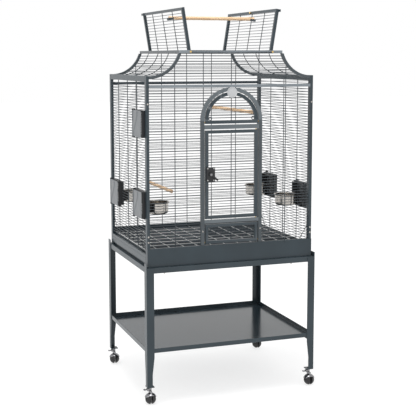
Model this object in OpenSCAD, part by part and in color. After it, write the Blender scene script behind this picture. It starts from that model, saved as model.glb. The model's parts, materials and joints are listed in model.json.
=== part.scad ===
// Bird cage on a wheeled stand, play-top type with two roof flaps.
// Millimetres. +Z is up, the door faces -Y, the origin is on the floor below the middle of the cage.

/* [Overall] */
// Width of the cage across its corner posts
cage_w = 798; // [700:1:1000]
// Depth of the cage across its corner posts
cage_d = 632; // [500:1:800]
// Height of the top of the stand above the floor
stand_top = 620; // [450:1:700]
// Height of the cage from the stand to the tops of the posts
cage_h = 842; // [760:1:1000]
// Rise of the roof from the post tops to the ridge
roof_rise = 112; // [80:1:160]

/* [Tubes and wires] */
// Side of the square frame tube
tube = 13; // [10:0.5:20]
// Diameter of the close cross wires
wire_d = 2.6; // [2:0.1:4]
// Diameter of the uprights that carry the cross wires
upright_d = 3.6; // [2.5:0.1:6]
// Pitch of the cross wires
pitch = 12.7; // [10:0.1:25]
// Running clearance between a pin and its bore, on the radius
pin_gap = 0.05; // [0.01:0.01:0.1]
// Gap that keeps neighbouring pieces of one panel apart
seam = 0.05; // [0.02:0.01:0.2]

/* [Stand] */
// Width of a leg flange
leg_w = 35; // [25:1:50]
// Thickness of the leg metal
leg_t = 3; // [2:0.5:5]
// Height of the leg ends above the floor
caster_h = 76; // [60:1:90]
// Height of the shelf rim above the floor
shelf_top = 254; // [200:1:400]
// Height of the shelf rim
shelf_rim = 20; // [10:1:40]
// Distance from a side of the cage to the inside of the legs
stand_side = 7.5; // [0.5:0.5:20]
// Distance from the front of the cage to the inside of the legs
stand_front = 17; // [3:0.5:25]
// Height of the rails under the cage
stand_rail_h = 25; // [15:1:40]
// Caster wheel diameter
wheel_d = 50; // [40:1:60]

/* [Front] */
// Outside width of the arch frame
arch_w = 294; // [240:1:340]
// Width of the arch tube
arch_t = 16; // [10:1:20]
// Width of the door, window and hatch tube
door_t = 14; // [10:1:18]
// Gap between an opening panel and the arch tube
door_gap = 5; // [3:0.5:8]
// Height of the door
door_h = 398; // [300:1:420]
// Height of the hatch below the door
hatch_h = 88; // [60:1:120]

/* [Roof] */
// Distance from the side of the cage to the ridge frame
ridge_in = 155; // [120:1:220]
// Distance from the ridge frame to the flap hinge
flap_in = 49; // [40:1:80]
// Outward lean of the open flaps, in degrees
flap_lean = 9; // [0:0.5:15]
// Diameter of the wooden perches
perch_d = 17; // [12:1:25]

/* [Feeders] */
// Width of a feeder housing
feeder_w = 130; // [100:1:160]
// Height of a feeder housing
feeder_h = 120; // [100:1:140]
// Depth of a feeder housing outside the panel
feeder_t = 15; // [12:1:40]
// Outside diameter of a bowl below its rim
bowl_d = 100; // [80:1:110]
// Depth of a bowl
bowl_h = 52; // [40:1:70]

/* [View] */
// Sub-part to show

/* [Hidden] */
hw = cage_w / 2;
hd = cage_d / 2;
post_top = stand_top + cage_h;
ridge_z = post_top + roof_rise;
t2 = tube / 2;
wn = 16;
pn = 48;

// Heights of the cage body
fascia_h = 82;
rail_z = stand_top + 70;
side_rail_z = stand_top + 41;
beam_z = post_top - 52;
side_beam_h = 25;

// Stand
rail_d = 30;
leg_x = hw + stand_side + leg_t;
leg_y = hd + stand_front + leg_t;
caster_x = leg_x - leg_w / 2;
caster_y = leg_y - leg_w / 2;
stem_d = 9;
trail = 8;
hood_r = wheel_d / 2 + 3;
brake_y = 12;
brake_z = caster_h - 11;
wheel_z = wheel_d / 2;

// Front openings
arch_r = arch_w / 2;
arch_z = beam_z - arch_r - 2 * seam;
arch_in = arch_r - arch_t;
arch_upright_x = arch_r - 14;
open_w = 2 * (arch_in - door_gap);
hatch_z = rail_z + tube + 6;
bar_low_z = hatch_z + hatch_h + door_gap;
bar_low_h = 15;
door_z = bar_low_z + bar_low_h + door_gap;
bar_top_z = door_z + door_h + door_gap;
window_z = arch_z - door_t;
bar_top_h = window_z - bar_top_z - door_gap;
front_y = -hd + t2;
pin_d = 5;
open_hinge = open_w / 2 - door_t / 2;

// Roof
ridge_x = hw - ridge_in;
hinge_x = ridge_x - flap_in;
hinge_z = ridge_z - t2;
flap_l = hinge_x - 1;
flap_y = hd - tube - 1;
arc_a = ridge_in - tube;
arc_h = roof_rise - t2;
arc_r = (arc_a * arc_a + arc_h * arc_h) / (2 * arc_h);
arc_end = asin(arc_a / arc_r);
perch_lift_z = 155;
top_perch_z = hinge_z + perch_lift_z;
perch_end_gap = 7;
washer_d = 22;
washer_t = 3;
perch_seat_y = hd - t2 - wire_d / 2 - 0.3;
low_x = -hw + 195;
low_z = stand_top + 300;
high_x = hw - 262;
high_z = stand_top + 672;
top_perch_y = -hd + 260;

// Feeders: [side, centre y, bottom z]
feeder_in = 5;
feeder_end = 2 * tube - feeder_in + feeder_w / 2;
feeder_lfy = -hd + feeder_end + 1;
feeder_lry = hd - feeder_end - 52;
feeder_rfy = -hd + feeder_end + 45;
feeder_rry = hd - feeder_end - 45;
feeder_low = stand_top + 215;
feeder_high = stand_top + 573;
feeder_list = [
    [-1, feeder_lfy, feeder_high], [-1, feeder_lfy, feeder_low], [-1, feeder_lry, feeder_low],
    [1, feeder_rfy, feeder_low], [1, feeder_rry, feeder_low]
];
ring_d = 4;
ring_r = bowl_d / 2 + 0.6 + ring_d / 2;
ring_x = hw - tube - 8 - ring_r;
ring_dz = 62;
ear_t = 4;
hinge_out = 4.2;
hinge_in = 4;
cover_pin = 4;

paint = [0.29, 0.33, 0.36];
paint_light = [0.36, 0.40, 0.43];
black = [0.05, 0.05, 0.055];
grey = [0.54, 0.56, 0.58];
steel = [0.80, 0.80, 0.79];
brass = [0.80, 0.62, 0.28];
wood = [0.85, 0.66, 0.48];

// ---- Shared shapes ----

// Box between two corners
module box(a, b) {
    translate(a)
        cube(b - a);
}

// Round wire along X, Y or Z from a point
module wire_x(x0, x1, y, z, d) {
    translate([x0, y, z])
        rotate([0, 90, 0])
            cylinder(d = d, h = x1 - x0, $fn = wn);
}

module wire_y(y0, y1, x, z, d) {
    translate([x, y1, z])
        rotate([90, 0, 0])
            cylinder(d = d, h = y1 - y0, $fn = wn);
}

module wire_z(z0, z1, x, y, d) {
    translate([x, y, z0])
        cylinder(d = d, h = z1 - z0, $fn = wn);
}

// Fixing screw head with its short shank, pointing along +Y into the tube
module screw_y(p, d = 8) {
    translate(p)
        rotate([90, 0, 0])
            cylinder(d1 = d, d2 = d - 3, h = 2, $fn = 24);
}

// ---- Stand ----

// One flange of a leg in its own plane: wide above the shelf, tapered below it
module flange(top) {
    foot = leg_w - 9;
    polygon([
        [0, caster_h], [foot, caster_h], [foot, caster_h + 60],
        [leg_w, shelf_top - shelf_rim - 20], [leg_w, top], [0, top]
    ]);
}

// Angle leg; sx and sy give its corner
module leg(sx, sy) {
    mirror([sx > 0 ? 1 : 0, 0, 0])
        mirror([0, sy > 0 ? 1 : 0, 0])
            color(paint)
                difference() {
                    union() {
                        translate([-leg_x, -leg_y + leg_t, 0])
                            rotate([90, 0, 0])
                                linear_extrude(leg_t)
                                    flange(stand_top);
                        translate([-leg_x, -leg_y, 0])
                            rotate([90, 0, 90])
                                linear_extrude(leg_t)
                                    flange(stand_top + 20);
                        translate([-leg_x, -leg_y, caster_h])
                            cube([leg_w - 1, leg_w - 1, 4]);
                    }
                    translate([-caster_x, -caster_y, caster_h - 1])
                        cylinder(d = stem_d + 2 * pin_gap, h = 6, $fn = pn);
                }
}

module leg_fl() leg(-1, -1);
module leg_fr() leg(1, -1);
module leg_rl() leg(-1, 1);
module leg_rr() leg(1, 1);

// Four box rails that carry the cage, between the legs
module stand_rails() color(paint) {
    z0 = stand_top - stand_rail_h;
    xi = leg_x - leg_t;
    yi = leg_y - leg_t;
    for (s = [-1, 1]) {
        box([-xi, s * yi - (s > 0 ? rail_d : 0), z0], [xi, s * yi + (s < 0 ? rail_d : 0), stand_top]);
        box([s * xi - (s > 0 ? rail_d : 0), -yi + rail_d + seam, z0],
            [s * xi + (s < 0 ? rail_d : 0), yi - rail_d - seam, stand_top]);
    }
}

// Shelf pan with an upstanding rim, notched round the legs by its corners
module shelf() color(paint_light) {
    xi = leg_x - leg_t;
    yi = leg_y - leg_t;
    z0 = shelf_top - shelf_rim;
    difference() {
        box([-xi, -yi, z0], [xi, yi, shelf_top]);
        box([-xi + 2, -yi + 2, z0 + 2], [xi - 2, yi - 2, shelf_top + 1]);
    }
    for (sx = [-1, 1], sy = [-1, 1])
        translate([sx * (xi - 20) - 10, sy * (yi - 18) - 9, z0 - 10])
            cube([20, 18, 11]);
}

// Screw heads on the posts, arch and stand, and the wing screws of the perches
module screws() color(steel) {
    for (x = [-hw + t2, hw - t2], z = [post_top - 122, stand_top + 136, stand_top + 112])
        screw_y([x, -hd, z]);
    for (x = [-arch_r + arch_t / 2, arch_r - arch_t / 2])
        screw_y([x, -hd, stand_top + 146], 7);
    for (x = [-hw + 78, hw - 103])
        translate([x, -leg_y + leg_t + rail_d / 2, stand_top - stand_rail_h - 6])
            cylinder(d = 9, h = 6, $fn = 24);
    for (p = [[low_x, low_z], [high_x, high_z]])
        wire_y(perch_seat_y - washer_t, perch_seat_y, p[0], p[1], washer_d);
}

// ---- Cage body ----

// Side and rear base rails that stand on the stand and guide the tray
module base_frame() color(paint) {
    y = hd - 2 * tube - 1;
    for (s = [-1, 1]) {
        mirror([s > 0 ? 1 : 0, 0, 0]) {
            box([-hw, -y, stand_top + 14], [-hw + tube, y, side_rail_z - seam]);
            box([-hw + tube - 3, -y, stand_top], [-hw + tube, y, stand_top + 14 - seam]);
        }
    }
    box([-hw + tube + 1, hd - tube, stand_top], [hw - tube - 1, hd, rail_z - seam]);
}

// Front panel frame: two posts, the beam above the arch and the rail above the tray
module front_frame() color(paint) {
    for (s = [-1, 1]) {
        box([s * (hw - t2) - t2, -hd, stand_top], [s * (hw - t2) + t2, -hd + tube, post_top]);
        x0 = arch_r + seam;
        x1 = hw - tube - seam;
        box([s > 0 ? x0 : -x1, -hd, rail_z], [s > 0 ? x1 : -x0, -hd + tube, rail_z + tube]);
    }
    box([-arch_r + seam, -hd, rail_z], [arch_r - seam, -hd + tube, rail_z + tube]);
    box([-hw + tube + seam, -hd, beam_z], [hw - tube - seam, -hd + tube, beam_z + tube]);
}

// Cross wires of a bay along X at depth y
module bay_x(x0, x1, y, z0, z1) {
    n = floor((z1 - z0 - 6) / pitch);
    first = z0 + (z1 - z0 - (n - 1) * pitch) / 2;
    for (i = [0:n - 1])
        wire_x(x0, x1, y, first + i * pitch, wire_d);
}

// Uprights of the front and rear panels stand at these distances from the middle
function upright_x() = [for (i = [-2:2]) i * cage_w / 6];

// Half width at a height under the curved gable tubes, up to the posts
function gable_x(z) = let (
    drop = post_top - t2 + arc_r - z - wire_d / 2,
    out = arc_r + t2 + 0.2
) hw - tube - (drop < out ? seam + sqrt(out * out - drop * drop) : 0);

// Top of a gable upright, under the curved tube or the ridge rail
function gable_top(x) = let (
    out = arc_r + t2 + 0.5,
    u = max(0, hw - tube - abs(x) - upright_d / 2)
) min(ridge_z - tube, post_top - t2 + arc_r - sqrt(max(0, out * out - u * u)));

// Wires of a gable between the beam and the ridge rail, clear of the curved tubes
module gable(y, yu, z0) {
    n = floor((ridge_z - tube - z0 - 6) / pitch);
    for (i = [1:n])
        wire_x(-gable_x(z0 + i * pitch), gable_x(z0 + i * pitch), y, z0 + i * pitch, wire_d);
    for (x = upright_x())
        wire_z(z0, gable_top(x), x, yu, upright_d);
}

// Front wires: two bays beside the arch, the corners above it and the gable
module front_wires() color(paint) {
    y = front_y;
    yu = front_y + (wire_d + upright_d) / 2 + seam;
    z0 = rail_z + tube;
    n = floor((beam_z - z0 - 6) / pitch);
    first = z0 + (beam_z - z0 - (n - 1) * pitch) / 2;
    for (i = [0:n - 1]) {
        z = first + i * pitch;
        dz = z - wire_d / 2 - arch_z;
        inner = dz < 0 ? arch_r : sqrt(max(0, arch_r * arch_r - pow(dz, 2))) + 0.3;
        for (s = [-1, 1])
            wire_x(s > 0 ? inner : -hw + tube, s > 0 ? hw - tube : -inner, y, z, wire_d);
    }
    for (x = [-cage_w / 3, cage_w / 3])
        wire_z(z0, beam_z, x, yu, upright_d);
    arch_top = arch_z + sqrt(arch_r * arch_r - pow(arch_upright_x - upright_d / 2, 2)) + 0.5;
    for (x = [-arch_upright_x, arch_upright_x])
        wire_z(arch_top, beam_z, x, yu, upright_d);
    gable(y, yu, beam_z + tube);
}

// Side panel frame, mirrored for the right
module side_frame() {
    x0 = -hw;
    x1 = -hw + tube;
    y0 = -hd + tube + seam;
    y1 = hd - tube - seam;
    box([x0, y0, stand_top], [x1, y0 + tube, post_top]);
    box([x0, y1 - tube, stand_top], [x1, y1, post_top]);
    box([x0, y0 + tube + seam, side_rail_z], [x1, y1 - tube - seam, side_rail_z + tube]);
    box([x0, y0 + tube + seam, post_top - side_beam_h], [x1, y1 - tube - seam, post_top]);
}

// Openings of one side: [y0, y1, z0, z1]
function openings(side) = [for (f = feeder_list) if (f[0] == side) [
    f[1] - feeder_w / 2 + feeder_in,
    f[1] + feeder_w / 2 - feeder_in,
    f[2] + feeder_in,
    f[2] + feeder_h - feeder_in
]];

// Spans of a line between a and b that miss the openings which it crosses
function cuts(list, a, b, v, k) = let (
    hit = [for (o = list) if (v > o[k] - 2 && v < o[k + 1] + 2) o],
    m = k == 2 ? 0 : 2,
    lo = [for (o = hit) o[m]],
    hi = [for (o = hit) o[m + 1]],
    n = len(hit)
) n == 0 ? [[a, b]]
    : n == 1 ? [[a, lo[0]], [hi[0], b]]
    : lo[0] < lo[1] ? [[a, lo[0]], [hi[0], lo[1]], [hi[1], b]]
    : [[a, lo[1]], [hi[1], lo[0]], [hi[0], b]];

// Side panel wires, left side; the list says where the feeder openings are
module side_wires(list) {
    x = -hw + t2;
    xu = x - (wire_d + upright_d) / 2 - seam;
    y0 = -hd + 2 * tube + 2 * seam;
    y1 = -y0;
    z0 = side_rail_z + tube;
    z1 = post_top - side_beam_h;
    n = floor((z1 - z0 - 6) / pitch);
    first = z0 + (z1 - z0 - (n - 1) * pitch) / 2;
    for (i = [0:n - 1]) {
        z = first + i * pitch;
        for (c = cuts(list, y0, y1, z, 2))
            wire_y(c[0], c[1], x, z, wire_d);
    }
    for (i = [-1:1])
        for (c = cuts(list, z0, z1, i * cage_d / 4, 0))
            wire_z(c[0], c[1], xu, i * cage_d / 4, upright_d);
    brace = 90;
    for (s = [-1, 1])
        translate([x + (wire_d + 3) / 2 + seam, s * y1, z0 + brace])
            rotate([s * 135, 0, 0])
                translate([0, 0, 2])
                    cylinder(d = 3, h = brace * sqrt(2) - 5, $fn = wn);
}

module left_frame() color(paint) side_frame();
module right_frame() color(paint) mirror([1, 0, 0]) side_frame();
module left_wires() color(paint) side_wires(openings(-1));
module right_wires() color(paint) mirror([1, 0, 0]) side_wires(openings(1));

// Rear panel frame
module rear_frame() color(paint) {
    for (s = [-1, 1])
        box([s * (hw - t2) - t2, hd - tube, stand_top], [s * (hw - t2) + t2, hd, post_top]);
    box([-hw + tube + seam, hd - tube, rail_z], [hw - tube - seam, hd, rail_z + tube]);
    box([-hw + tube + seam, hd - tube, beam_z], [hw - tube - seam, hd, beam_z + tube]);
}

// Rear panel wires and the rear gable
module rear_wires() color(paint) {
    y = hd - t2;
    yu = y + (wire_d + upright_d) / 2 + seam;
    bay_x(-hw + tube, hw - tube, y, rail_z + tube, beam_z);
    for (x = upright_x())
        wire_z(rail_z + tube, beam_z, x, yu, upright_d);
    gable(y, yu, beam_z + tube);
}

// Arch tube round the door, with its two crossbars and the door, window and hatch pins
module arch_frame() color(paint_light) {
    y0 = -hd;
    y1 = -hd + tube;
    z0 = rail_z + tube;
    for (s = [-1, 1])
        difference() {
            box([s * (arch_r - arch_t / 2) - arch_t / 2, y0, z0],
                [s * (arch_r - arch_t / 2) + arch_t / 2, y1, arch_z]);
            for (z = [window_z + door_t / 2, hatch_z + t2])
                wire_x(s > 0 ? arch_in - 1 : -arch_in - 10, s > 0 ? arch_in + 10 : -arch_in + 1,
                    front_y, z, pin_d + 0.04);
        }
    translate([0, y1, arch_z + seam])
        rotate([90, 0, 0])
            rotate_extrude(angle = 180, $fn = 96)
                translate([arch_in, 0])
                    square([arch_t, tube]);
    for (b = [[bar_top_z, bar_top_h, 0, 1], [bar_low_z, bar_low_h, 1, 0]])
        difference() {
            box([-arch_in + seam, y0, b[0]], [arch_in - seam, y1, b[0] + b[1]]);
            translate([open_hinge, front_y, b[0] + (b[3] > 0 ? -1 : b[1] - 8)])
                cylinder(d = pin_d + 0.04, h = 9, $fn = pn);
        }
}

// Roof frame: ridge rectangle, four curved gable tubes and the two fixed hinge strips
module roof_frame() color(paint_light) {
    z0 = ridge_z - tube;
    for (s = [-1, 1]) {
        difference() {
            box([-ridge_x, s * (hd - t2) - t2, z0], [ridge_x, s * (hd - t2) + t2, ridge_z]);
            for (x = [-hinge_x, hinge_x])
                wire_y(s * (hd - t2) - t2 - 1, s * (hd - t2) + t2 + 1, x, hinge_z, pin_d + 0.04);
        }
        box([s * (ridge_x - t2) - t2, -hd + tube + seam, z0],
            [s * (ridge_x - t2) + t2, hd - tube - seam, ridge_z]);
        xs = hinge_x + 10 + t2;
        box([s * xs - t2, -hd + tube + seam, z0], [s * xs + t2, hd - tube - seam, ridge_z]);
    }
    for (sx = [-1, 1], sy = [-1, 1])
        mirror([sx > 0 ? 1 : 0, 0, 0])
            mirror([0, sy > 0 ? 1 : 0, 0])
                difference() {
                    translate([-hw + tube + seam, -hd, post_top - t2 + arc_r])
                        rotate([-90, 0, 0])
                            rotate([0, 0, 90 - arc_end - 6])
                                rotate_extrude(angle = arc_end + 6, $fn = 128)
                                    translate([arc_r - t2, 0])
                                        square([tube, tube]);
                    box([-hw, -hd - 1, ridge_z - tube - seam], [0, -hd + tube + 1, ridge_z + 90]);
                }
}

// Curved roof wires, the straight wires that they carry and the wires of the hinge strips
module roof_wires() color(paint) {
    wr = arc_r - 2;
    cx = -hw + tube + seam;
    cz = post_top - t2 + arc_r;
    for (sx = [-1, 1])
        mirror([sx > 0 ? 1 : 0, 0, 0]) {
            for (i = [-1:1])
                translate([cx, i * cage_d / 4, cz])
                    rotate([-90, 0, 0])
                        rotate([0, 0, 90.3 - arc_end])
                            rotate_extrude(angle = arc_end - 0.3, $fn = 96)
                                translate([wr, 0])
                                    circle(d = upright_d, $fn = wn);
            rr = wr + (wire_d + upright_d) / 2 + seam;
            n = floor(rr * arc_end * PI / 180 / pitch);
            for (i = [1:n - 1]) {
                g = i * arc_end / n;
                wire_y(-hd + tube, hd - tube, cx + rr * sin(g), cz - rr * cos(g), wire_d);
            }
            xm = (ridge_x - tube + hinge_x + 10 + tube) / 2;
            wire_y(-hd + tube, hd - tube, -xm, hinge_z, wire_d);
        }
}

// Pivot screws of the flaps and the pins of the door, window and hatch
module hinge_pins() color(brass) {
    for (s = [-1, 1], x = [-hinge_x, hinge_x]) {
        wire_y(s > 0 ? hd - tube - 15 : -hd - 0.5, s > 0 ? hd + 0.5 : -hd + tube + 15,
            x, hinge_z, pin_d);
        wire_y(s > 0 ? hd + 0.1 : -hd - 2.2, s > 0 ? hd + 2.2 : -hd - 0.1, x, hinge_z, 9);
    }
    wire_z(door_z + door_h - 15, bar_top_z + 7.5, open_hinge, front_y, pin_d);
    wire_z(bar_low_z + bar_low_h - 7.5, door_z + 15, open_hinge, front_y, pin_d);
    for (z = [window_z + door_t / 2, hatch_z + t2], s = [-1, 1])
        wire_x(s > 0 ? open_w / 2 - 13 : -arch_in - 9.5, s > 0 ? arch_in + 9.5 : -open_w / 2 + 13,
            front_y, z, pin_d);
}

// ---- Feeders ----

// Housing tube through the panel and, for a bowl, the ring inside the cage; left side
module housing(side, cy, z0, ring) {
    xo = -hw - feeder_t;
    y0 = cy - feeder_w / 2;
    y1 = cy + feeder_w / 2;
    z1 = z0 + feeder_h;
    in = feeder_in + 2.5;
    color(black)
        mirror([side > 0 ? 1 : 0, 0, 0]) {
            difference() {
                union() {
                    box([xo, y0, z0], [-hw - 0.1, y1, z1]);
                    box([-hw - 2, y0 + feeder_in, z0 + feeder_in],
                        [-hw + tube, y1 - feeder_in, z1 - feeder_in]);
                    for (z = [z0 - ear_t, z1 - 0.9])
                        box([xo - 8, y1 - 8, z], [xo + 6, y1, z + ear_t + 0.9]);
                }
                box([xo - 1, y0 + in, z0 + in], [-hw + tube + 1, y1 - in, z1 - in]);
                box([xo - 9, cy, z0 + 0.9], [xo, y1 + 1, z1 - 0.9]);
                for (z = [z0 - ear_t - 1, z1 - 1])
                    translate([xo - hinge_out, y1 - hinge_in, z])
                        cylinder(d = cover_pin + 0.04, h = ear_t + 2, $fn = pn);
            }
            if (ring) {
                box([-hw + tube - 4, y0 + in - 1, z0 + ring_dz - 4],
                    [-hw + tube, y1 - in + 1, z0 + ring_dz + 4]);
                translate([-ring_x, cy, z0 + ring_dz])
                    rotate_extrude($fn = 64)
                        translate([ring_r, 0])
                            circle(d = ring_d, $fn = 20);
                for (dy = [-30, 30])
                    wire_x(-hw + tube - 2, -ring_x - sqrt(ring_r * ring_r - dy * dy),
                        cy + dy, z0 + ring_dz, ring_d - 0.2);
            }
            for (z = [z0 - ear_t, z1 - 12])
                translate([xo - hinge_out, y1 - hinge_in, z])
                    cylinder(d = cover_pin, h = 12 + ear_t, $fn = pn);
        }
}

module housing_lu() housing(-1, feeder_lfy, feeder_high, false);
module housing_lf() housing(-1, feeder_lfy, feeder_low, true);
module housing_lr() housing(-1, feeder_lry, feeder_low, true);
module housing_rf() housing(1, feeder_rfy, feeder_low, true);
module housing_rr() housing(1, feeder_rry, feeder_low, true);

// Cover plate in front of the housing; it turns on pins in the housing's ears
module cover(side, cy, z0) color(grey)
    mirror([side > 0 ? 1 : 0, 0, 0]) {
        xo = -hw - feeder_t;
        y1 = cy + feeder_w / 2;
        za = z0 + 1.4;
        zb = z0 + feeder_h - 1.4;
        difference() {
            union() {
                box([xo - 4.4, cy - feeder_w / 2 + 1, za], [xo - 0.4, y1 - 8, zb]);
                translate([xo - hinge_out, y1 - hinge_in, za])
                    cylinder(d = 7.6, h = zb - za, $fn = pn);
                box([xo - 4.4, y1 - 9, za], [xo - 1.4, y1 - hinge_in, zb]);
            }
            for (z = [za - 1, zb - 14])
                translate([xo - hinge_out, y1 - hinge_in, z])
                    cylinder(d = cover_pin + 2 * pin_gap, h = 15, $fn = pn);
        }
        translate([xo - 6.4, cy - feeder_w / 2 + 8, z0 + feeder_h / 2 - 12])
            cube([2.5, 6, 24]);
    }

module cover_lu() cover(-1, feeder_lfy, feeder_high);
module cover_lf() cover(-1, feeder_lfy, feeder_low);
module cover_lr() cover(-1, feeder_lry, feeder_low);
module cover_rf() cover(1, feeder_rfy, feeder_low);
module cover_rr() cover(1, feeder_rry, feeder_low);

// Pressed steel bowl that hangs in its ring by the rim
module bowl(side, cy, z0) color(steel)
    translate([side * ring_x, cy, z0 + ring_dz + ring_d / 2 + 0.1]) {
        r = bowl_d / 2;
        h = bowl_h;
        rotate_extrude($fn = 96)
            polygon([
                [0, -h], [r - 10, -h], [r - 3, -h + 5], [r, -h + 14], [r, 0], [r + 5.5, 0], [r + 5.5, 1.5],
                [r - 1.5, 1.5], [r - 1.5, -h + 14], [r - 4.5, -h + 6], [r - 10.5, -h + 1.5], [0, -h + 1.5]
            ]);
    }

module bowl_lf() bowl(-1, feeder_lfy, feeder_low);
module bowl_lr() bowl(-1, feeder_lry, feeder_low);
module bowl_rf() bowl(1, feeder_rfy, feeder_low);
module bowl_rr() bowl(1, feeder_rry, feeder_low);

// ---- Perches ----

module perch_low() color(wood)
    wire_y(-hd + 250, perch_seat_y - washer_t - seam, low_x, low_z, perch_d);

module perch_high() color(wood)
    wire_y(-hd + tube + 2, perch_seat_y - washer_t - seam, high_x, high_z, perch_d);

// Loose perch that lies in the hooks of the open flaps
module top_perch() color(wood) {
    reach = hinge_x + perch_lift_z * tan(flap_lean) - perch_end_gap;
    wire_x(-reach, reach, top_perch_y, top_perch_z, perch_d);
}

// ---- Roof flaps ----

// Flap frame, left side, standing on its hinge line
module flap_frame() {
    difference() {
        box([-t2, -flap_y, -t2], [t2, flap_y, t2]);
        for (s = [-1, 1])
            wire_y(s > 0 ? flap_y - 20 : -flap_y - 1, s > 0 ? flap_y + 1 : -flap_y + 20,
                0, 0, pin_d + 2 * pin_gap);
    }
    box([-t2, -flap_y, flap_l - tube], [t2, flap_y, flap_l]);
    for (s = [-1, 1])
        box([-t2, s * (flap_y - t2) - t2, t2 + seam],
            [t2, s * (flap_y - t2) + t2, flap_l - tube - seam]);
}

// Flap wires between the frame tubes
module flap_mesh() {
    z0 = t2 + seam;
    z1 = flap_l - tube - seam;
    step = pitch + 1;
    n = floor((z1 - z0 - 6) / step);
    first = z0 + (z1 - z0 - (n - 1) * step) / 2;
    for (i = [0:n - 1])
        wire_y(-flap_y + tube + seam, flap_y - tube - seam, 0, first + i * step, wire_d);
    for (i = [-1:1])
        wire_z(z0, z1, -(wire_d + upright_d) / 2 - seam, i * flap_y / 2, upright_d);
}

// Stop lug that lands on the ridge frame when the flap is shut
module flap_lug(s)
    box([-t2 - 4, s > 0 ? flap_y - 20 : -flap_y - 12, flap_l - tube + 1],
        [-t2 - seam, s > 0 ? flap_y + 12 : -flap_y + 20, flap_l - 1]);

// Open hook on the flap wires that carries one end of the loose perch
module flap_hook() {
    up = perch_lift_z / cos(flap_lean);
    difference() {
        box([wire_d / 2 + seam, top_perch_y - 10.5, up - perch_d / 2 - 4],
            [28, top_perch_y + 10.5, up - 3]);
        rotate([0, flap_lean, 0])
            wire_x(-40, 60, top_perch_y, perch_lift_z, perch_d + 0.6);
    }
}

// Left flap in its open place; the lug is at the rear on one flap and at the front on the other
module flap(lug)
    translate([-hinge_x, 0, hinge_z])
        rotate([0, -flap_lean, 0]) {
            flap_frame();
            flap_mesh();
            flap_lug(lug);
            flap_hook();
        }

module flap_left() color(paint) flap(1);
module flap_right() color(paint) mirror([1, 0, 0]) flap(-1);

// ---- Door, window and hatch ----

module door_frame() color(paint) {
    y0 = -hd;
    y1 = -hd + tube;
    w = open_w / 2;
    for (s = [-1, 1])
        difference() {
            box([s * (w - door_t / 2) - door_t / 2, y0, door_z],
                [s * (w - door_t / 2) + door_t / 2, y1, door_z + door_h]);
            if (s > 0)
                for (z = [door_z - 1, door_z + door_h - 20])
                    translate([open_hinge, front_y, z])
                        cylinder(d = pin_d + 2 * pin_gap, h = 21, $fn = pn);
        }
    for (z = [door_z, door_z + door_h - door_t])
        box([-w + door_t + seam, y0, z], [w - door_t - seam, y1, z + door_t]);
}

module door_wires() color(paint) {
    w = open_w / 2 - door_t;
    bay_x(-w, w, front_y, door_z + door_t, door_z + door_h - door_t);
    wire_z(door_z + door_t, door_z + door_h - door_t, 0,
        front_y + (wire_d + upright_d) / 2 + seam, upright_d);
}

latch_x = -open_w / 2 + 22;
latch_z = door_z + 202;

module latch_body() color(black)
    difference() {
        box([latch_x - 20, -hd - 9, latch_z - 32], [latch_x + 20, -hd - 0.05, latch_z + 32]);
        translate([latch_x, -hd - 20, latch_z])
            rotate([-90, 0, 0])
                cylinder(d = 8 + 2 * pin_gap, h = 18, $fn = pn);
    }

module latch_lever() color(black)
    translate([latch_x, -hd - 9.4, latch_z])
        rotate([90, 0, 0]) {
            cylinder(d = 18, h = 7, $fn = pn);
            translate([0, 0, -7])
                cylinder(d = 8, h = 8, $fn = pn);
            rotate([0, 0, -40])
                translate([0, -4, 1])
                    cube([42, 8, 5]);
        }

// Arched window that folds down on pins in its bottom bar
module window_frame() color(paint) {
    w = open_w / 2;
    y0 = -hd;
    y1 = -hd + tube;
    difference() {
        box([-w, y0, window_z], [w, y1, window_z + door_t]);
        for (s = [-1, 1])
            wire_x(s > 0 ? w - 16 : -w - 1, s > 0 ? w + 1 : -w + 16,
                front_y, window_z + door_t / 2, pin_d + 2 * pin_gap);
    }
    translate([0, y1, arch_z + seam])
        rotate([90, 0, 0])
            rotate_extrude(angle = 180, $fn = 96)
                translate([w - door_t, 0])
                    square([door_t, tube]);
    r = w - door_t;
    n = floor((r - 8) / pitch);
    for (i = [1:n]) {
        z = i * pitch;
        c = sqrt(r * r - pow(z + wire_d / 2, 2)) - 0.1;
        wire_x(-c, c, front_y, arch_z + z, wire_d);
    }
    wire_z(arch_z + seam, arch_z + r - 1, 0, front_y + (wire_d + upright_d) / 2 + seam, upright_d);
    for (s = [-1, 1])
        translate([s * (r - 9), y0 + 4, arch_z + 9.5])
            rotate([90, 0, 0])
                difference() {
                    cylinder(d = 17, h = 3, $fn = 32);
                    translate([0, 0, -1])
                        cylinder(d = 11, h = 5, $fn = 32);
                }
}

// Plain round badge at the crown of the arch
module badge() color([0.79, 0.80, 0.81])
    translate([0, -hd - 0.1, beam_z - arch_t / 2 - 14])
        rotate([90, 0, 0])
            cylinder(d = 48, h = 3, $fn = 64);

// Low hatch that folds down on pins in its bottom bar
module hatch_frame() color(paint) {
    w = open_w / 2;
    y0 = -hd;
    y1 = -hd + tube;
    difference() {
        box([-w, y0, hatch_z], [w, y1, hatch_z + tube]);
        for (s = [-1, 1])
            wire_x(s > 0 ? w - 16 : -w - 1, s > 0 ? w + 1 : -w + 16,
                front_y, hatch_z + t2, pin_d + 2 * pin_gap);
    }
    box([-w, y0, hatch_z + hatch_h - tube], [w, y1, hatch_z + hatch_h]);
    for (s = [-1, 1])
        box([s * (w - t2) - t2, y0, hatch_z + tube + seam],
            [s * (w - t2) + t2, y1, hatch_z + hatch_h - tube - seam]);
    bay_x(-w + tube + seam, w - tube - seam, front_y, hatch_z + tube, hatch_z + hatch_h - tube);
    wire_z(hatch_z + tube + seam, hatch_z + hatch_h - tube - seam, 0,
        front_y + (wire_d + upright_d) / 2 + seam, upright_d);
}

// ---- Tray and grate ----

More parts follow.
